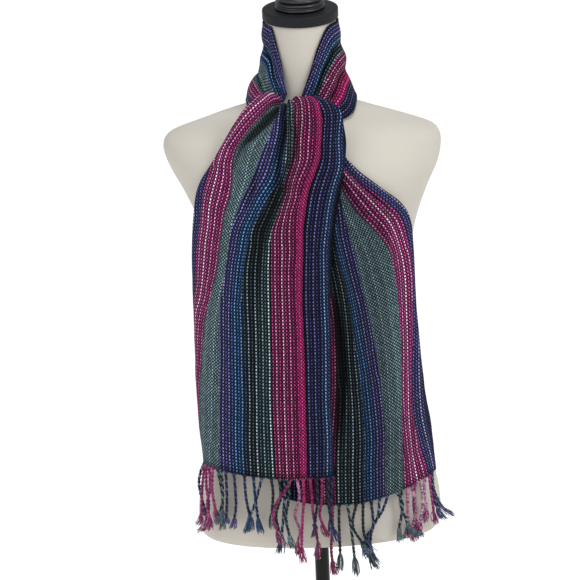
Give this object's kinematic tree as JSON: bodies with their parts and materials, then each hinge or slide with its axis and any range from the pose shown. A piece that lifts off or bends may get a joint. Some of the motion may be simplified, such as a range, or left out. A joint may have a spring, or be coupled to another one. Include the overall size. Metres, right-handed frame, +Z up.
{
  "type": "striped alpaca scarf tied over itself on a limbless tabletop dress form",
  "caption": "Handwoven alpaca scarf with lengthwise stripes and twisted fringes, looped round the neck of a linen dress form and flipped over at the throat.",
  "frame": {"origin": "middle of the underside of the round base", "axes": "+Z up, -Y is the front of the form, +X is to the viewer's right from the front"},
  "size_m": [0.375, 0.3, 1.0679],
  "materials": {
    "linen": "plain woven linen cover, matte",
    "powder_coat": "black powder coat, satin",
    "cap_plastic": "charcoal, fine matte texture",
    "finial_lacquer": "turned, black gloss lacquer",
    "alpaca_cloth": "plain weave in lengthwise stripes, soft nap",
    "fringe_yarn": "twisted two-ply yarn with frayed ends"
  },
  "bodies": {
    "root": {"form_torso": "linen", "form_pole": "powder_coat", "form_base": "powder_coat", "neck_cap": "cap_plastic", "cap_finial": "finial_lacquer", "scarf_collar_left": "alpaca_cloth", "scarf_collar_right": "alpaca_cloth", "scarf_nape": "alpaca_cloth", "scarf_crossing": "alpaca_cloth", "scarf_front_tail": "alpaca_cloth", "scarf_under_tail": "alpaca_cloth", "front_fringe": "fringe_yarn", "under_fringe": "fringe_yarn"}
  },
  "joints": []
}
